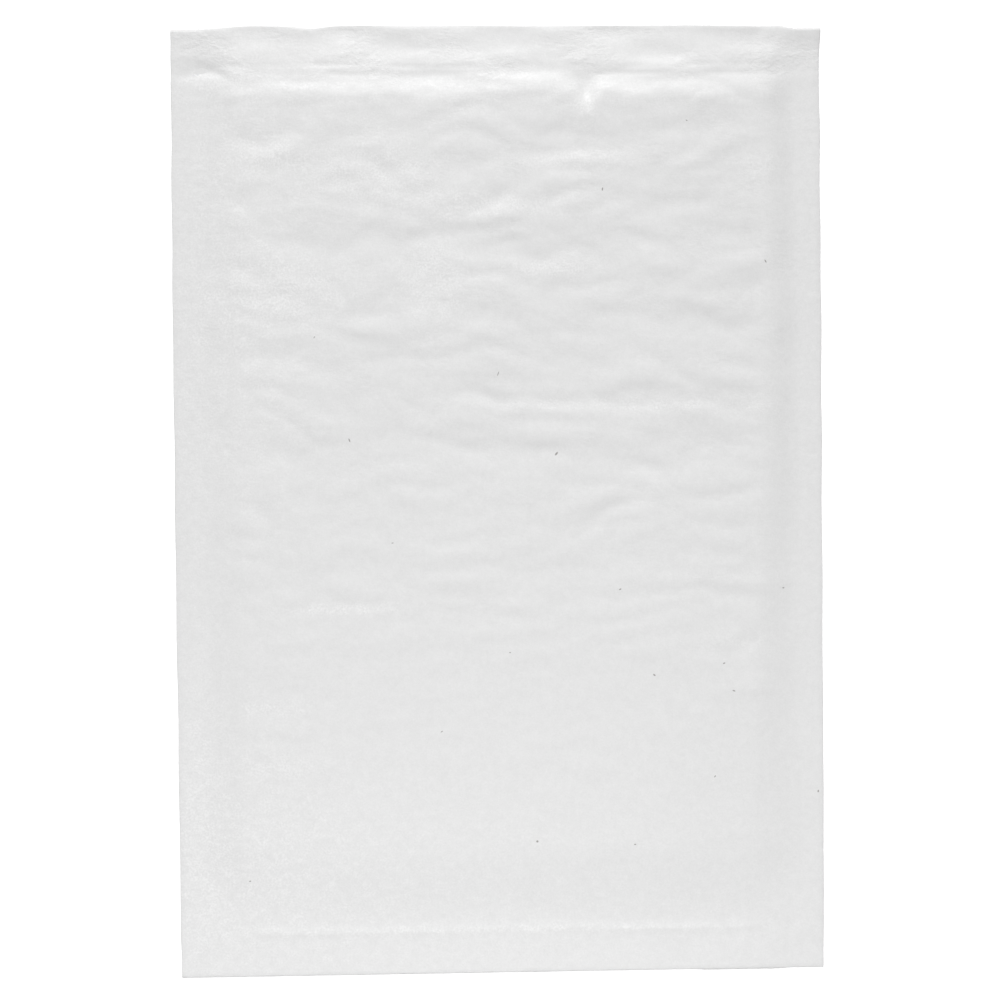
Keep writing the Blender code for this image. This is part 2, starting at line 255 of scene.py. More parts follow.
# the corner dents and the marks beside the mouth
cornerMarks = [
    (-106, 158.6, 8, 3.0, -8, 1.00, 0.8), (-105, 162.2, 8, 1.0, -22, -0.22, 1.0),
    (-104, 172.5, 7, 1.4, -4, 0.22, 1.0), (101, 173.5, 8, 1.8, 3, 0.50, 1.8),
    (33.0, 144.5, 9.5, 1.5, 64, -0.55, 1.3), (32, 136.0, 11, 2.4, -8, 0.70, 1.4),
    (20, 136, 8, 2.2, 12, 0.30, 1.6), (108, -161, 3, 0.8, 62, 0.30, 1.0), (-112, -146, 3, 1.0, 70, 0.10, 1.0),
]


def grooveField(x, y, marks, gain=1.0):
    # for each mark: -depth * exp(-(distance across)/width, rounded) * exp(-(distance along / length)^2)
    total = np.zeros(x.shape)
    drift = 1.6 * softWaves(x, y, 26 * mm, 22 * mm, 25)
    for midX, midY, halfLength, width, turn, depth, lowerSide in marks:
        c, s = math.cos(math.radians(turn)), math.sin(math.radians(turn))
        along = ((x / mm - midX) * c + (y / mm - midY) * s) / halfLength
        across = -(x / mm - midX) * s + (y / mm - midY) * c
        across = across + min(halfLength / 12, 1.0) * (drift + along ** 2)
        across = across / np.where(across < 0, width * lowerSide, width)
        rounded = np.sqrt(across ** 2 + 0.25) - 0.5
        total -= gain * depth * mm * np.exp(-1.2 * rounded) * np.exp(-np.clip(along ** 2, 0, 30))
    return total


def pillowField(x, y):
    # lumps with sharp valleys between them: the rounded size of slow waves, long across and short along
    bend = 2.5 * mm * softWaves(x, y, 70 * mm, 60 * mm, 21)
    big = softWaves(x, y + bend, 62 * mm, 21 * mm, 22)
    small = softWaves(x, y + bend, 30 * mm, 11 * mm, 23)
    big = np.sqrt(big ** 2 + 0.05)
    small = np.sqrt(small ** 2 + 0.08)
    fine = softWaves(x, y, 15 * mm, 7.5 * mm, 24, 90)
    return 0.23 * mm * (big - 1.0) + 0.085 * mm * (small - 1.0) + 0.036 * mm * fine


def wrinkleStrength(x, y):
    # strongest in the upper half and to the right, about a quarter of that near the bottom
    upper = smooth((y + 125 * mm) / (135 * mm))
    side = mix(0.92, 1.10, smooth((x + 110 * mm) / (190 * mm)))
    return mix(0.28, 1.0, upper) * side


def mouthField(x, y):
    # waves and fine creases on the unpadded strip between the flap's fold and the padding
    below = yCrest - y
    strip = smooth((24 * mm - below) / (6 * mm)) * smooth(below / (3 * mm))
    waves = 0.17 * mm * softWaves(x, y, 44 * mm, 13 * mm, 31)
    waves = waves + 0.03 * mm * softWaves(x, y, 20 * mm, 7 * mm, 32)
    inside = smooth((halfWidth - 13 * mm - np.abs(x)) / (6 * mm))
    total = strip * waves * mix(0.35, 1.0, inside)
    for depthBelow, depth, seed in ((15.0, 0.20, 41), (18.2, 0.24, 42)):
        line = below - depthBelow * mm - 0.35 * mm * softWaves(x, 0.0, 90 * mm, 90 * mm, seed)
        broken = 0.55 + 0.45 * softWaves(x, 0.0, 22 * mm, 22 * mm, seed + 5)
        total -= depth * mm * np.clip(broken, 0, 1.4) * np.exp(-((line / (0.75 * mm)) ** 2)) * inside
    return total


def frontZ(x, y, detailed=True):
    # padding height over the closed level, plus the wrinkles where detailed
    across, fromTop, fromBottom = fullness(x, y)
    edge = closedLevel(y) + closedGap(y) + form["ply"] * lapShare(x) * (1 - overBagShare(y))
    # along the length: up the strip, up the slope beside the mouth, then on to the full height
    strip = mix(edge, form["bandHeight"], smooth((yCrest - y - 1.0 * mm) / form["bandTop"]))
    toFull = smooth((yCrest - form["bandTop"] - form["bandRun"] - y) / form["mouthCrown"])
    full = mix(form["mouthHeight"], topPly - 0.45 * mm, toFull)
    lengthwise = mix(edge, mix(strip, full, fromTop), fromBottom)
    z = mix(edge, lengthwise, across)
    if not detailed:
        return z
    lumps = (pillowField(x, y) + grooveField(x, y, grooves, form["grooveGain"])) * wrinkleStrength(x, y)
    inside = smooth((halfWidth - 16 * mm - np.abs(x)) / (12 * mm)) * fromTop
    z = z + lumps * mix(0.10, 1.0, inside) * smooth((y - yBottom - 6 * mm) / (30 * mm))
    z = z + mouthField(x, y) + grooveField(x, y, cornerMarks)
    # the film's closed end shows as a thin ridge
    ridgeLine = y - yBottom - form["bagFoot"] - 0.25 * mm * softWaves(x, 0.0, 120 * mm, 120 * mm, 51)
    ridge = form["ridgeHeight"] * np.exp(-((ridgeLine / form["ridgeWidth"]) ** 2))
    ridge = ridge * smooth((halfWidth - 22 * mm - np.abs(x)) / (8 * mm))
    corner = smooth((x - 97 * mm) / (13 * mm)) * smooth((y - 165.5 * mm) / (8.5 * mm))
    return z + ridge + form["cornerLift"] * corner


# the kraft paper: one blank, folded
paperSheet = {
    "frontCell": 1.75 * mm,     # grid cells on the front, the back and beside the mouth
    "backCell": 5.5 * mm,
    "mouthCell": 0.85 * mm,
    "lapInnerEdge": 84 * mm,    # where the glued lap begins and ends on the back
    "lapOuterEdge": 99 * mm,
    "flapHalfRoot": 110 * mm,   # half the flap's width at its fold and at its edge
    "flapHalfTip": 104 * mm,
    "rightClimb": 6 * mm,       # over which the flap's fold rises from each shoulder
    "leftClimb": 22 * mm,
    "foldReach": 0.45 * mm,     # the flap's fold is pressed nearly flat
    "mouthDrop": 8 * mm,        # the back's edge lies this far below the shoulders
    "turnUp": 14.5 * mm,        # the bottom strip turned up on to the back
}


def lines(low, high, cell):
    return np.linspace(low, high, max(2, int(round((high - low) / cell)) + 1))


def paperColumns():
    # stations across the blank: where, and on which part
    # (0 inner lap, 1 right fold, 2 front, 3 left fold, 4 outer lap)
    p = paperSheet
    innerLap = lines(p["lapInnerEdge"], foldX, 4 * mm)
    turn = np.pi * np.array([0.2, 0.4, 0.6, 0.8])
    root = p["flapHalfRoot"]
    frontX = np.concatenate([
        lines(-foldX, -root, p["frontCell"])[:-1], lines(-root, root, p["frontCell"]),
        lines(root, foldX, p["frontCell"])[1:],
    ])[::-1]
    outerLap = lines(-foldX, p["lapOuterEdge"], p["backCell"])
    places = [innerLap, np.pi - turn, frontX, turn, outerLap]
    return np.repeat(np.arange(5), [len(item) for item in places]), np.concatenate(places)


def paperRows():
    # stations along the blank: which part (0 strip, 1 turn, 2 body, 3 bend, 4 flap) and where
    p = paperSheet
    radius = form["ply"]
    yTurn = yBottom + radius + form["ply"] / 2 + form["paper"] / 2
    strip = lines(0.0, p["turnUp"] - radius, 3 * mm)[:0:-1]
    turn = np.pi * np.linspace(0, 1, 6)[:0:-1]
    yBand = yCrest - 31 * mm
    body = np.concatenate([
        lines(yTurn, yBottom + 20 * mm, 1.2 * mm)[:-1], lines(yBottom + 20 * mm, yBand, 1.85 * mm)[:-1],
        lines(yBand, yShoulder - p["mouthDrop"], p["mouthCell"])[:-1],
        lines(yShoulder - p["mouthDrop"], yShoulder, p["mouthCell"]),
    ])
    bend = np.pi * np.linspace(0, 1, 10)[1:-1]
    bend = np.append(bend, np.pi)
    flap = lines(0.0, 1.0, 0.07)[1:]
    places = [strip, turn, body, bend, flap]
    return np.repeat(np.arange(5), [len(item) for item in places]), np.concatenate(places), yTurn


def sectionPoint(columnPart, place, y, z):
    # (x, z) across the body: panels at their own height, side folds as half circles between front and back
    radius = (z["foldTop"] - z["foldBottom"]) / 2
    side = np.where(columnPart == 1, 1.0, -1.0)
    onFold = (columnPart == 1) | (columnPart == 3)
    x = np.where(onFold, side * (foldX + radius * np.sin(place)), place)
    nearEdge = smooth((np.abs(x) - 96 * mm) / (22 * mm))
    x = x + 0.14 * mm * nearEdge * softWaves(y, np.sign(x), 60 * mm, 9.0, 61, 16)
    heights = [z["inner"], (z["foldTop"] + z["foldBottom"]) / 2 + radius * np.cos(place), z["front"],
               (z["foldTop"] + z["foldBottom"]) / 2 + radius * np.cos(place), z["back"]]
    return x, np.choose(columnPart, heights)


# x, y and half sizes in mm of the places where the glazed side glitters, and how much: there the roughness
# drops and a painted sheen lightens the colour, as painted highlights in patches, along some wrinkles and the
# bottom ridge, and over the left and lower parts
glossAndSheenPlaces = [
    (-44, 122, 24, 12, 0.9), (-24, 82, 12, 16, 1.0), (-76, 78, 22, 12, 0.8), (-2, 109, 30, 5, 0.8),
    (-88, 128, 14, 6, 0.9), (30, 126, 22, 4, 0.8), (98, 124, 8, 5, 0.7), (18, 85, 18, 4, 0.5),
    (-112, -110, 9, 62, 0.45), (-70, -130, 60, 34, 0.15), (40, 36, 60, 3, 0.5), (0, -159.6, 92, 1.1, 0.7),
    (-60, -39, 22, 2, 1.0), (-84, -76, 14, 3, 0.6), (-82, -97, 16, 3, 0.5), (85, -53, 16, 3, 0.4),
    (-104, 155, 12, 3, 0.8), (0, 149, 90, 7, 0.4), (-20, 163, 90, 9, 0.3), (33.5, 145, 3, 6, 0.7),
    (0, -150, 150, 42, 0.22), (72, 34, 30, 2.5, 0.4), (20, 86.5, 16, 2, 0.8), (80, -29, 24, 2, 0.4),
    (-100, 70, 28, 90, 0.55), (-96, -130, 34, 50, 0.35),
]


def glossAndSheenField(x, y):
    # sum of strength * exp(-(dx/rx)^2 - (dy/ry)^2), broken up by slow waves
    total = np.full(x.shape, 0.06)
    for midX, midY, reachX, reachY, strength in glossAndSheenPlaces:
        total += strength * np.exp(-((x / mm - midX) / reachX) ** 2 - ((y / mm - midY) / reachY) ** 2)
    return np.clip(total * (1.0 + 0.35 * softWaves(x, y, 9 * mm, 5 * mm, 91)), 0, 1)


def crumpleField(x, y):
    # 1 on the handled strip beside the mouth, less over the upper half, little near the bottom
    strip = smooth((y - yCrest + 24 * mm) / (8 * mm))
    upper = smooth((y + 60 * mm) / (120 * mm))
    uneven = np.clip(0.8 + 0.5 * softWaves(x, y, 40 * mm, 20 * mm, 92), 0.15, 1.6)
    return mix(mix(0.12, 0.42, upper), 1.0, strip) * uneven


def makePaper():
    # grid of stations across and along the blank, each carried to its place in the folded sheet
    p = paperSheet
    columnPart, place = paperColumns()
    rowPart, along, yTurn = paperRows()
    columnPart, rowKind = np.meshgrid(columnPart, rowPart)
    place, alongAll = np.meshgrid(place, along)
    y = np.where(rowKind < 2, yTurn, np.where(rowKind == 2, alongAll, yShoulder))
    onPanel = np.where((columnPart == 1) | (columnPart == 3), 0.0, place)
    side = np.where(columnPart == 1, 1.0, -1.0)
    heights = {
        "front": frontZ(onPanel, y), "back": backZ(onPanel, y), "inner": innerBackZ(onPanel, y),
        "foldTop": frontZ(side * foldX, y), "foldBottom": backZ(side * foldX, y),
    }
    x, z = sectionPoint(columnPart, place, y, heights)
    # the flap's fold climbs from the shoulders, with slow waves in its crest
    climbRun = np.where(x > 0, p["rightClimb"], p["leftClimb"])
    climb = mix(0.25, 1.0, smooth((p["flapHalfRoot"] - np.abs(x)) / climbRun))
    crestWave = 0.30 * mm * softWaves(x, 0.0, 70 * mm, 70 * mm, 71)
    crestWave = crestWave - 0.9 * mm * np.exp(-(((x + 68 * mm) / (6 * mm)) ** 2))
    bendTop = heights["front"]
    bend = (bendTop - floorPly) / 2
    reachOut = p["foldReach"]
    bendY = yShoulder + climb * (form["flapRise"] + 0.25 * mm + crestWave) - reachOut - form["paper"] / 2
    frontFlap = (columnPart == 2) & (np.abs(place) < p["flapHalfRoot"] + 0.6 * mm)
    # the last rows of the front lean with the fold
    reach = smooth((y - yShoulder + 6 * mm) / (6 * mm))
    y = np.where(frontFlap & (rowKind == 2), y + (bendY - yShoulder) * reach, y)
    onBend, onFlap = rowKind == 3, rowKind == 4
    y = np.where(onBend, bendY + reachOut * np.sin(alongAll), y)
    z = np.where(onBend, floorPly + bend + bend * np.cos(alongAll), z)
    rippled = 0.25 * mm * softWaves(x, alongAll * form["flapLength"], 50 * mm, 30 * mm, 72)
    y = np.where(onFlap, mix(bendY, yFlapEdge + rippled, alongAll), y)
    z = np.where(onFlap, floorPly, z)
    x = np.where(onFlap, x * mix(1.0, p["flapHalfTip"] / p["flapHalfRoot"], alongAll), x)
    # the bottom turns the whole flat tube over
    fromMiddle = z - form["bottomLevel"]
    radius = form["ply"]
    axisZ = form["bottomLevel"] - radius
    onTurn, onStrip = rowKind == 1, rowKind == 0
    y = np.where(onStrip, yTurn + alongAll, y)
    y = np.where(onTurn, yTurn - (radius + fromMiddle) * np.sin(alongAll), y)
    z = np.where(onTurn, axisZ + (radius + fromMiddle) * np.cos(alongAll), z)
    z = np.where(onStrip, axisZ - radius - fromMiddle, z)
    points = np.stack([x, y, z], axis=-1)

    besideFlap = (columnPart != 2) | (np.abs(place) > p["flapHalfRoot"] + 0.3 * mm)
    lap = (columnPart == 0) | (columnPart == 4)
    aboveMouth = (rowKind == 2) & (alongAll > yShoulder - p["mouthDrop"] + 0.1 * mm) & lap
    gone = ((onBend | onFlap) & besideFlap) | (aboveMouth & (np.abs(place) < p["flapHalfRoot"] + 4 * mm))
    cell = gone[:-1, :-1] | gone[:-1, 1:] | gone[1:, 1:] | gone[1:, :-1]
    quads = gridFaces(*gone.shape, keep=~cell)
    paper = meshPiece("kraftPaper", points, quads, "outer_paper")
    crumple = np.where(columnPart == 2, crumpleField(x, y), 0.25)
    crumpleLayer = paper.data.attributes.new("crumple", "FLOAT", "POINT")
    crumpleLayer.data.foreach_set("value", crumple.ravel()[np.unique(quads)])
    # per point mask for lower roughness and for a painted sheen that lightens the colour as a painted
    # highlight
    glossAndPaintedSheen = paper.data.attributes.new("glossAndPaintedSheen", "FLOAT", "POINT")
    glossAndSheenValues = np.where(columnPart == 2, glossAndSheenField(x, y), 0.1)
    glossAndPaintedSheen.data.foreach_set("value", glossAndSheenValues.ravel()[np.unique(quads)])
    thickness = paper.modifiers.new("paper thickness", "SOLIDIFY")
    thickness.thickness = form["paper"]
    thickness.offset = 0
    print("paper:", len(quads), "quads before its thickness")
    return paper


# the bubble film bag inside
filmBag = {
    "bubblePitch": 10 * mm,     # between the middles of neighbouring bubbles
    "bubbleWidth": 9.2 * mm,
    "halfWidth": 118.4 * mm,    # the welded sides lie just inside the paper's folds
    "foot": 16.6 * mm,          # above the bottom fold
    "mouth": 14.5 * mm,         # below the shoulders
    "film": 0.12 * mm,          # thickness
    "pocketGap": 0.4 * mm,      # between the two inner faces of the empty bag
    "clear": 0.60 * mm,         # how far below the unwrinkled front the film lies
}


def bubbleShape(x, y):
    # domes on a hexagonal grid: (1 - (r/R)^2.6)^0.6 of the distance to the nearest bubble's middle
    b = filmBag
    rowHeight = b["bubblePitch"] * math.sqrt(3) / 2
    nearest = np.full(x.shape, 1.0)
    for shift in (0.0, 0.5):
        row = np.round(y / rowHeight / 2 - shift) + shift
        column = np.round(x / b["bubblePitch"] - shift) + shift
        r = np.hypot(x - column * b["bubblePitch"], y - row * 2 * rowHeight)
        nearest = np.minimum(nearest, r)
    inside = np.clip(nearest / (b["bubbleWidth"] / 2), 0, 1)
    return (1 - inside ** 2.6) ** 0.6


def makeFilmBag():
    # one web of film: from the mouth along the front, round the foot, and back to the mouth along the back
    b = filmBag
    cellX = b["bubblePitch"] / 6
    cellY = b["bubblePitch"] * math.sqrt(3) / 8
    xs = np.arange(-70, 71) * cellX
    xs = np.concatenate([[-b["halfWidth"]], xs, [b["halfWidth"]]])
    foot, mouth = yBottom + b["foot"] + 1.2 * mm, yShoulder - b["mouth"]
    ys = np.arange(math.ceil(foot / cellY), math.floor(mouth / cellY) + 1) * cellY
    roundFoot = np.linspace(0, np.pi, 7)[1:-1]
    side = np.concatenate([np.zeros(len(ys)), np.full(len(roundFoot), 1), np.full(len(ys), 2)])
    along = np.concatenate([ys[::-1], roundFoot, ys])
    x, sideAll = np.meshgrid(xs, side)
    _, alongAll = np.meshgrid(xs, along)
    y = np.where(sideAll == 1, ys[0], alongAll)
    plain = frontZ(x, y, detailed=False)
    clear = b["clear"] * smooth((plain - 2.6 * mm) / (2 * mm)) + 0.12 * mm
    top = np.minimum(plain - clear, frontZ(x, y) - 0.25 * mm) - form["paper"] / 2
    bottom = innerBackZ(x, y) + form["paper"] / 2 + 0.15 * mm
    middle = (top + bottom) / 2
    room = (top - bottom) / 2
    gap = np.minimum(b["pocketGap"] / 2, room / 4)
    film = np.minimum(b["film"], room / 3)
    bubble = bubbleShape(x, y) * np.clip(room - gap - film - 0.02 * mm, 0, None)
    outerReach = gap + film + bubble
    front = sideAll == 0
    outerZ = np.where(front, middle + outerReach, middle - outerReach)
    innerZ = np.where(front, middle + gap, middle - gap)
    onFoot = sideAll == 1
    outerY = np.where(onFoot, ys[0] - outerReach * np.sin(alongAll), y)
    innerY = np.where(onFoot, ys[0] - gap * np.sin(alongAll), y)
    outerZ = np.where(onFoot, middle + outerReach * np.cos(alongAll), outerZ)
    innerZ = np.where(onFoot, middle + gap * np.cos(alongAll), innerZ)
    outer = np.stack([x, outerY, outerZ], axis=-1)
    inner = np.stack([x, innerY, innerZ], axis=-1)
    bag = skinnedSheet("bubbleFilmBag", outer[:, ::-1], inner[:, ::-1], "bubble_film_bag")
    print("film bag:", len(bag.data.polygons), "quads")
    return bag


# the glue band and its liner on the flap
closure = {
    "edgeRound": 0.6 * mm, "rim": 0.25 * mm, "cell": 1.5 * mm,
    "glueRipple": 0.02 * mm, "linerRipple": 0.01 * mm,
}


def makeStrip(name, low, high, ripple, nodeName):
    # a flat pad whose top falls to its rim over edgeRound, with a small ripple on its lower face
    xs, ys = (np.concatenate([
        [start, start + closure["rim"]],
        lines(start + closure["edgeRound"], end - closure["edgeRound"], closure["cell"]),
        [end - closure["rim"], end],
    ]) for start, end in zip(low[:2], high[:2]))
    x, y = np.meshgrid(xs, ys)
    fromRim = np.minimum(np.minimum(x - low[0], high[0] - x), np.minimum(y - low[1], high[1] - y))
    half = (high[2] - low[2]) / 2 * np.sqrt(smooth(fromRim / closure["edgeRound"]) * 0.84 + 0.16)
    wave = ripple * softWaves(x, y, 14 * mm, 6 * mm, 81)
    middle = (high[2] + low[2]) / 2
    upper = np.stack([x, y, middle + half], axis=-1)
    lower = np.stack([x, y, middle - half + np.clip(wave, 0, None)], axis=-1)
    return skinnedSheet(name, upper, lower, nodeName)


def newGroup(name, inputs, outputs):
    group = bpy.data.node_groups.new(name, "ShaderNodeTree")
    for label, kind, value in inputs:
        socket = group.interface.new_socket(name=label, in_out="INPUT", socket_type=kind)
        if value is not None:
            socket.default_value = value
    for label, kind in outputs:
        group.interface.new_socket(name=label, in_out="OUTPUT", socket_type=kind)
    return group, group.nodes.new("NodeGroupInput"), group.nodes.new("NodeGroupOutput")


def mathNode(tree, operation, a, b=None, clamp=False):
    node = tree.nodes.new("ShaderNodeMath")
    node.operation = operation
    node.use_clamp = clamp
    for socket, value in zip(node.inputs, (a, b)):
        if isinstance(value, bpy.types.NodeSocket):
            tree.links.new(value, socket)
        elif value is not None:
            socket.default_value = value
    return node.outputs[0]


def noise(tree, vector, scale, detail=2.0, roughness=0.5):
    node = tree.nodes.new("ShaderNodeTexNoise")
    node.inputs["Scale"].default_value = scale
    node.inputs["Detail"].default_value = detail
    node.inputs["Roughness"].default_value = roughness
    tree.links.new(vector, node.inputs["Vector"])
    return node.outputs["Fac"]


def ramp(tree, value, low, high, clamp=True):
    node = tree.nodes.new("ShaderNodeMapRange")
    node.clamp = clamp
    node.inputs["From Min"].default_value = low
    node.inputs["From Max"].default_value = high
    tree.links.new(value, node.inputs["Value"])
    return node.outputs["Result"]


# stray fibres in the paper, in mm: x and y, half length, half breadth, turn in degrees
specks = [
    (20.8, 17.4, 1.0, 0.42, 50), (-55.5, 23.0, 0.9, 0.28, -70), (-0.5, 47.1, 1.1, 0.20, 70),
    (38.6, 114.8, 0.8, 0.30, 80), (99.0, 88.0, 0.8, 0.30, -60), (12.6, -126.5, 0.55, 0.50, 0),
    (-22.5, -85.0, 0.6, 0.25, 30), (56.5, -65.0, 0.7, 0.35, -40), (82.6, -61.0, 0.6, 0.30, 20),
    (86.2, -71.3, 0.7, 0.30, -20), (79.0, -103.2, 0.6, 0.25, 50), (49.0, -128.2, 0.5, 0.3, 0),
    (44.0, -33.0, 0.6, 0.3, 30), (105.2, -33.3, 0.5, 0.3, 0), (118.0, -109.6, 0.6, 0.35, 80),
    (-40.0, -15.0, 0.5, 0.2, 10), (-68.0, 61.0, 0.5, 0.2, 60), (70.0, 140.0, 0.5, 0.2, -30),
    (3.0, -56.0, 0.4, 0.25, 0), (-94.0, -140.0, 0.5, 0.25, 15),
]


def paperGroup():
    # cloudy formation, fibre grain, patches of glitter (a mask for lower roughness and for a painted sheen in
    # the colour) and stray specks, all on object coordinates
    group, inputs, outputs = newGroup(
        "paperSurface",
        [("Vector", "NodeSocketVector", None), ("Grain", "NodeSocketFloat", 1.0),
         ("Cloud", "NodeSocketFloat", 1.0), ("Glitter", "NodeSocketFloat", 1.0),
         ("Specks", "NodeSocketFloat", 1.0)],
        [("Shade", "NodeSocketFloat"), ("GlossAndSheen", "NodeSocketFloat"), ("Speck", "NodeSocketFloat"),
         ("Height", "NodeSocketFloat")],
    )
    vector = inputs.outputs["Vector"]
    fine = noise(group, vector, 1500.0, 2.0, 0.6)
    fibre = noise(group, vector, 420.0, 3.0, 0.6)
    cloud = noise(group, vector, 130.0, 3.0, 0.55)
    centred = mathNode(group, "SUBTRACT", fine, 0.5)
    grainPart = mathNode(group, "MULTIPLY", centred, inputs.outputs["Grain"])
    cloudPart = mathNode(group, "MULTIPLY", mathNode(group, "SUBTRACT", cloud, 0.5), inputs.outputs["Cloud"])
    fibrePart = mathNode(group, "MULTIPLY", mathNode(group, "SUBTRACT", fibre, 0.5), inputs.outputs["Grain"])
    shade = mathNode(group, "ADD", mathNode(group, "ADD", grainPart, fibrePart), cloudPart)
    # speckle mask for glossier spots and for painted glints that lighten the colour
    glossAndSheenSpeckle = ramp(group, noise(group, vector, 1300.0, 1.0, 0.5), 0.36, 0.76)
    glossAndSheenMask = mathNode(group, "MULTIPLY", glossAndSheenSpeckle, inputs.outputs["Glitter"])
    speck = None
    for midX, midY, halfLength, halfBreadth, turn in specks:
        place = group.nodes.new("ShaderNodeMapping")
        place.vector_type = "TEXTURE"
        place.inputs["Location"].default_value = (midX * mm, midY * mm, 0)
        place.inputs["Rotation"].default_value = (0, 0, math.radians(turn))
        place.inputs["Scale"].default_value = (halfLength * mm, halfBreadth * mm, 1)
        group.links.new(vector, place.inputs["Vector"])
        length = group.nodes.new("ShaderNodeVectorMath")
        length.operation = "LENGTH"
        group.links.new(place.outputs["Vector"], length.inputs[0])
        one = ramp(group, length.outputs["Value"], 1.0, 0.5)
        speck = one if speck is None else mathNode(group, "MAXIMUM", speck, one)
    speck = mathNode(group, "MULTIPLY", speck, inputs.outputs["Specks"])
    group.links.new(shade, outputs.inputs["Shade"])
    group.links.new(glossAndSheenMask, outputs.inputs["GlossAndSheen"])
    group.links.new(speck, outputs.inputs["Speck"])
    coarsePart = mathNode(group, "MULTIPLY", fibre, 0.7)
    height = mathNode(group, "ADD", coarsePart, mathNode(group, "MULTIPLY", fine, 0.3))
    group.links.new(height, outputs.inputs["Height"])
    return group


def newMaterial(name):
    material = bpy.data.materials.new(name)
    material.use_nodes = True
    tree = material.node_tree
    shader = tree.nodes["Principled BSDF"]
    coordinates = tree.nodes.new("ShaderNodeTexCoord")
    return material, tree, shader, coordinates.outputs["Object"]


def useGroup(tree, group, vector, **values):
    node = tree.nodes.new("ShaderNodeGroup")
    node.node_tree = group
    tree.links.new(vector, node.inputs["Vector"])
    for label, value in values.items():
        node.inputs[label].default_value = value
    return node


def addBump(tree, shader, height, distance, strength):
    bump = tree.nodes.new("ShaderNodeBump")
    bump.inputs["Distance"].default_value = distance
    bump.inputs["Strength"].default_value = strength
    tree.links.new(height, bump.inputs["Height"])
    tree.links.new(bump.outputs["Normal"], shader.inputs["Normal"])


# a share of the glitter mask is added to the paper's colour as a painted sheen, beside the roughness it
# lowers
kraftLook = {
    "colour": (0.69, 0.69, 0.69), "speckColour": (0.30, 0.29, 0.28), "grain": 0.105, "cloud": 0.028,
    "glossAndSheenShare": 1.0, "specks": 1.0, "roughness": 0.52, "glossDrop": 0.22, "paintedSheen": 0.13, "bump": 0.05 * mm,
    "glossAndSheenAttribute": "glossAndPaintedSheen", "creases": 0.6 * mm, "creaseScale": 105.0, "ior": 1.45, "specular": 0.3,
}


def paperMaterial(name, group, look):
    material, tree, shader, vector = newMaterial(name)
    surface = useGroup(tree, group, vector, Grain=look["grain"], Cloud=look["cloud"],
                       Glitter=look["glossAndSheenShare"], Specks=look["specks"])
    if "glossAndSheenAttribute" in look:
        glossAndPaintedSheen = tree.nodes.new("ShaderNodeAttribute")
        glossAndPaintedSheen.attribute_name = look["glossAndSheenAttribute"]
        tree.links.new(glossAndPaintedSheen.outputs["Fac"], surface.inputs["Glitter"])
    value = mathNode(tree, "ADD", surface.outputs["Shade"], 1.0)
    # painted sheen: the glitter mask lightens the base colour where highlights fall
    paintedSheenLift = mathNode(tree, "MULTIPLY", surface.outputs["GlossAndSheen"], look["paintedSheen"])
    value = mathNode(tree, "ADD", value, paintedSheenLift)
    tinted = tree.nodes.new("ShaderNodeVectorMath")
    tinted.operation = "SCALE"
    tinted.inputs[0].default_value = look["colour"]
    tree.links.new(value, tinted.inputs["Scale"])
    specked = tree.nodes.new("ShaderNodeMix")
    specked.data_type = "RGBA"
    tree.links.new(surface.outputs["Speck"], specked.inputs["Factor"])
    tree.links.new(tinted.outputs["Vector"], specked.inputs["A"])
    specked.inputs["B"].default_value = (*look["speckColour"], 1.0)
    tree.links.new(specked.outputs["Result"], shader.inputs["Base Color"])
    rough = mathNode(tree, "MULTIPLY", surface.outputs["GlossAndSheen"], -look["glossDrop"])
    rough = mathNode(tree, "ADD", rough, look["roughness"])
    tree.links.new(rough, shader.inputs["Roughness"])
    shader.inputs["IOR"].default_value = look["ior"]
    shader.inputs["Specular IOR Level"].default_value = look["specular"]
    height = mathNode(tree, "MULTIPLY", surface.outputs["Height"], look["bump"])
    if "creases" in look:
        # fine creases, sharp where the noise passes its middle
        amount = tree.nodes.new("ShaderNodeAttribute")
        amount.attribute_name = "crumple"
        squeeze = tree.nodes.new("ShaderNodeMapping")
        squeeze.inputs["Scale"].default_value = (1.0, 1.6, 1.0)
        tree.links.new(vector, squeeze.inputs["Vector"])
        folds = noise(tree, squeeze.outputs["Vector"], look["creaseScale"], 5.0, 0.62)
        folds = mathNode(tree, "ABSOLUTE", mathNode(tree, "SUBTRACT", folds, 0.5))
        folds = mathNode(tree, "MULTIPLY", folds, amount.outputs["Fac"])
        folds = mathNode(tree, "MULTIPLY", folds, look["creases"])
        height = mathNode(tree, "ADD", height, folds)
    addBump(tree, shader, height, 1.0, 1.0)
    return material


filmLook = {"colour": (0.90, 0.92, 0.93, 1.0), "roughness": 0.16, "alpha": 0.45, "crinkle": 0.03 * mm}


def filmMaterial():
    material, tree, shader, vector = newMaterial("clearFilm")
    shader.inputs["Base Color"].default_value = filmLook["colour"]
    shader.inputs["IOR"].default_value = 1.49
    shader.inputs["Alpha"].default_value = filmLook["alpha"]
    crinkle = noise(tree, vector, 260.0, 3.0, 0.55)
    rough = mathNode(tree, "ADD", mathNode(tree, "MULTIPLY", crinkle, 0.14), filmLook["roughness"] - 0.07)
    tree.links.new(rough, shader.inputs["Roughness"])
    addBump(tree, shader, crinkle, filmLook["crinkle"], 0.8)
    return material


glueLook = {"colour": (0.80, 0.72, 0.48, 1.0), "pale": (0.90, 0.86, 0.70, 1.0), "roughness": 0.24}


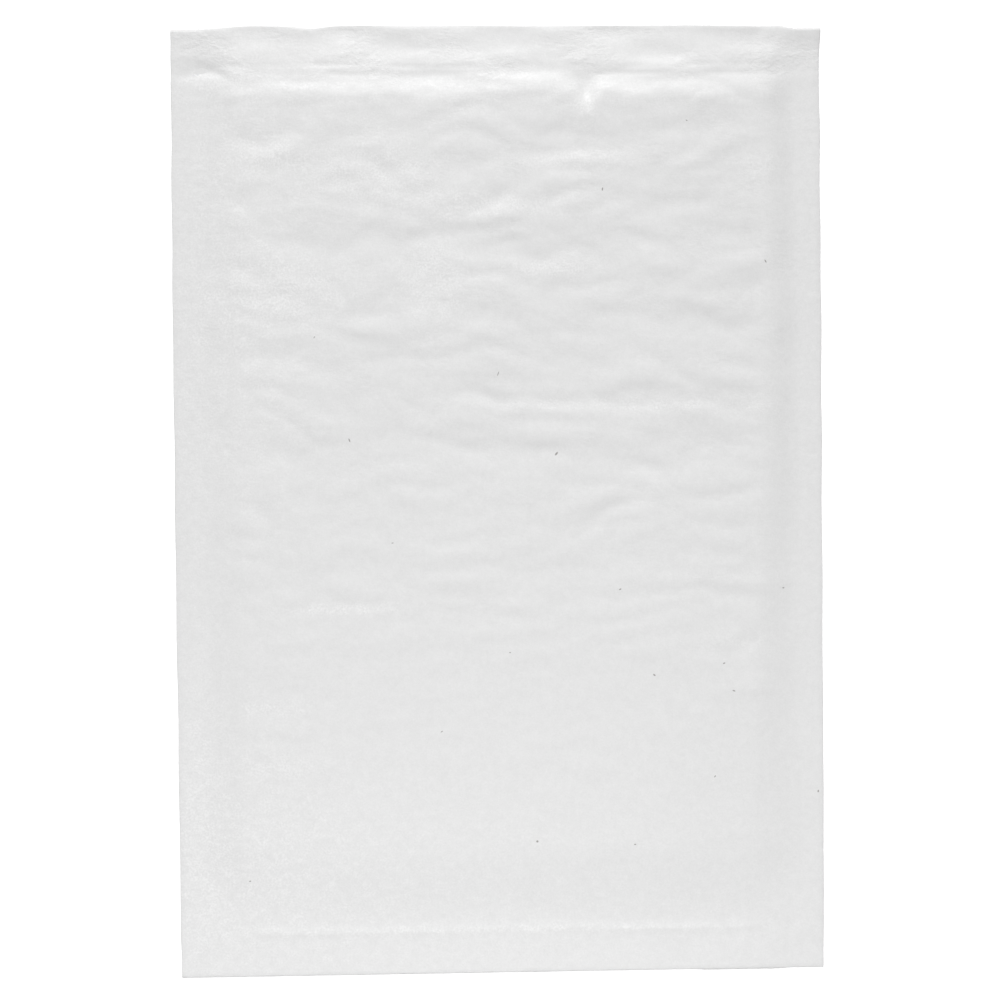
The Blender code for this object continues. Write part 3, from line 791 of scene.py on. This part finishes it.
def glueMaterial():
    material, tree, shader, vector = newMaterial("hotMelt")
    streak = ramp(tree, noise(tree, vector, 180.0, 3.0, 0.6), 0.35, 0.7)
    blend = tree.nodes.new("ShaderNodeMix")
    blend.data_type = "RGBA"
    blend.inputs["A"].default_value = glueLook["colour"]
    blend.inputs["B"].default_value = glueLook["pale"]
    tree.links.new(streak, blend.inputs["Factor"])
    tree.links.new(blend.outputs["Result"], shader.inputs["Base Color"])
    rough = mathNode(tree, "ADD", mathNode(tree, "MULTIPLY", streak, 0.2), glueLook["roughness"])
    tree.links.new(rough, shader.inputs["Roughness"])
    addBump(tree, shader, streak, 0.04 * mm, 0.8)
    return material


# a small share of the glitter mask is added to the liner's colour as a painted sheen
linerLook = {
    "colour": (0.84, 0.84, 0.82), "speckColour": (0.6, 0.58, 0.54), "grain": 0.05, "cloud": 0.03,
    "glossAndSheenShare": 0.3, "specks": 0.3, "roughness": 0.28, "glossDrop": 0.08, "paintedSheen": 0.03, "bump": 0.01 * mm,
    "ior": 1.45, "specular": 0.3,
}


def giveMaterial(piece, material):
    piece.data.materials.clear()
    piece.data.materials.append(material)


studio = {
    "floorColour": (0.96, 0.96, 0.96, 1.0), "floorHalf": 6.0,
    "nearGlow": 0.30, "glow": 0.55, "glowFrom": (0.45, 2.2),
    "topLight": {"place": (-0.12, 1.75, 1.20), "size": 0.60, "power": 40.3},
    "bottomLight": {"place": (0.00, -0.45, 0.62), "size": 0.35, "power": 2.85},
    "sky": 0.24, "wall": 0.97,  # light from all round, and how bright the wall looks
    "camera": {"place": (-0.0333, 0.0221, 0.8772), "turn": (-1.4008, -2.188, -0.511), "lens": 85.0},
}


def makeFloor():
    half = studio["floorHalf"]
    mesh = bpy.data.meshes.new("tableTop")
    corners = [(-half, -half, 0), (half, -half, 0), (half, half, 0), (-half, half, 0)]
    mesh.from_pydata(corners, [], [(0, 1, 2, 3)])
    floor = bpy.data.objects.new("tableTop", mesh)
    bpy.context.scene.collection.objects.link(floor)
    material, tree, shader, vector = newMaterial("paleTable")
    shader.inputs["Base Color"].default_value = studio["floorColour"]
    shader.inputs["Roughness"].default_value = 0.8
    shader.inputs["Specular IOR Level"].default_value = 0.1
    # the table glows a little, more so far off, so that it stays pale where the lights don't reach
    length = tree.nodes.new("ShaderNodeVectorMath")
    length.operation = "LENGTH"
    tree.links.new(vector, length.inputs[0])
    far = ramp(tree, length.outputs["Value"], *studio["glowFrom"])
    glow = mathNode(tree, "ADD", mathNode(tree, "MULTIPLY", far, studio["glow"]), studio["nearGlow"])
    tree.links.new(glow, shader.inputs["Emission Strength"])
    shader.inputs["Emission Color"].default_value = (1, 1, 1, 1)
    floor.data.materials.append(material)


def addLight(name, setting):
    # a square area light at its place, facing the middle of the envelope
    light = bpy.data.lights.new(name, "AREA")
    light.shape = "SQUARE"
    light.size = setting["size"]
    light.energy = setting["power"]
    lamp = bpy.data.objects.new(name, light)
    bpy.context.scene.collection.objects.link(lamp)
    x, y, z = setting["place"]
    lamp.location = (x, y, z)
    lamp.rotation_euler = (math.atan2(math.hypot(x, y), z), 0, math.atan2(y, x) + math.pi / 2)


def makeStudio():
    makeFloor()
    addLight("topLight", studio["topLight"])
    addLight("bottomLight", studio["bottomLight"])
    world = bpy.data.worlds.new("softSky")
    world.use_nodes = True
    tree = world.node_tree
    background = tree.nodes["Background"]
    background.inputs["Color"].default_value = (1, 1, 1, 1)
    # the wall behind is pale to the eye, and gives less light than it shows
    lightPath = tree.nodes.new("ShaderNodeLightPath")
    seen = mathNode(tree, "MULTIPLY", lightPath.outputs["Is Camera Ray"], studio["wall"] - studio["sky"])
    tree.links.new(mathNode(tree, "ADD", seen, studio["sky"]), background.inputs["Strength"])
    bpy.context.scene.world = world
    camera = bpy.data.cameras.new("overhead")
    camera.lens = studio["camera"]["lens"]
    camera.sensor_width = 36.0
    view = bpy.data.objects.new("overhead", camera)
    bpy.context.scene.collection.objects.link(view)
    view.location = studio["camera"]["place"]
    view.rotation_euler = [math.radians(angle) for angle in studio["camera"]["turn"]]
    bpy.context.scene.camera = view
    bpy.context.scene.view_settings.view_transform = "Standard"
    bpy.context.scene.view_settings.look = "None"


makeStudio()
print("studio: table, two lights and camera")
surfaceGroup = paperGroup()
paper = makePaper()
giveMaterial(paper, paperMaterial("whiteKraft", surfaceGroup, kraftLook))
bag = makeFilmBag()
giveMaterial(bag, filmMaterial())
glue = makeStrip("flapGlue", glueLow, glueHigh, closure["glueRipple"], "flap_glue_strip")
giveMaterial(glue, glueMaterial())
liner = makeStrip("releaseLiner", linerLow, linerHigh, closure["linerRipple"],
                  "release_liner")
giveMaterial(liner, paperMaterial("linerPaper", surfaceGroup, linerLook))
print("closure: glue band and its liner")
